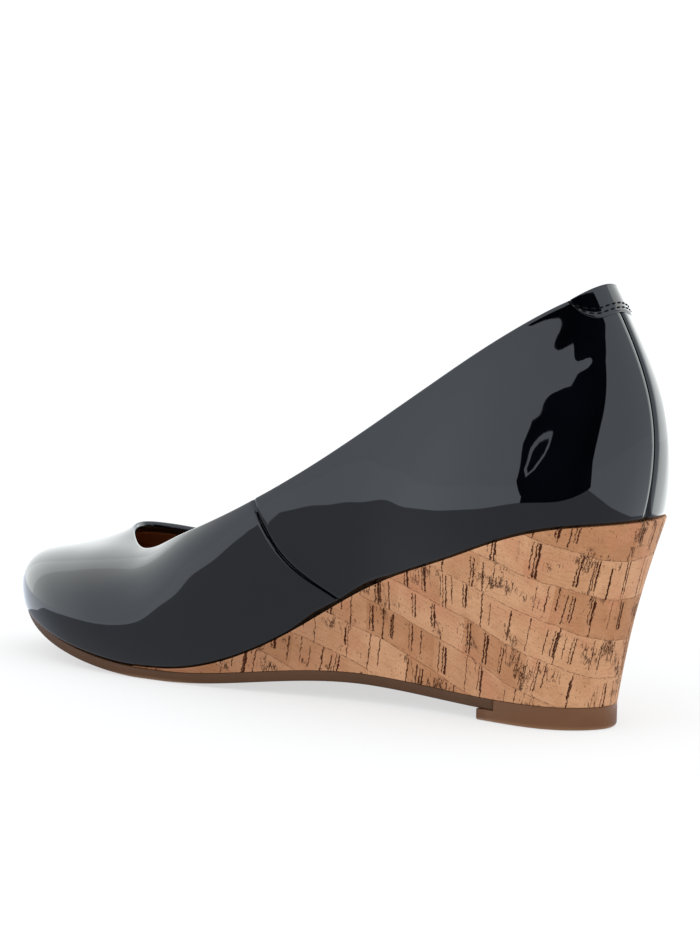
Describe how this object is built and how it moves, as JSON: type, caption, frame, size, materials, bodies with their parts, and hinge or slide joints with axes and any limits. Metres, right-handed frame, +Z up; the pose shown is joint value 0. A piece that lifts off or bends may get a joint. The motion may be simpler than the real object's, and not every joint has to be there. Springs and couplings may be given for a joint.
{
  "type": "cork wedge court shoe",
  "caption": "Slip-on court shoe with a hollow patent upper, round toe, low cut throat, cork covered wedge and thin tan sole with a heel lift.",
  "frame": {"origin": "on the floor under the middle of the heel lift", "axes": "+X towards the toe, +Y to the wearer's left, which is the inner side of this foot, +Z up"},
  "size_m": [0.2257, 0.0738, 0.1224],
  "materials": {
    "patent": "high gloss",
    "lining": "matt",
    "cork": "matt, fissured",
    "sole": "satin"
  },
  "bodies": {
    "root": {"upper": "patent", "heel_tab": "patent", "insole": "lining", "wedge": "cork", "outsole": "sole", "heel_lift": "sole"}
  },
  "joints": []
}
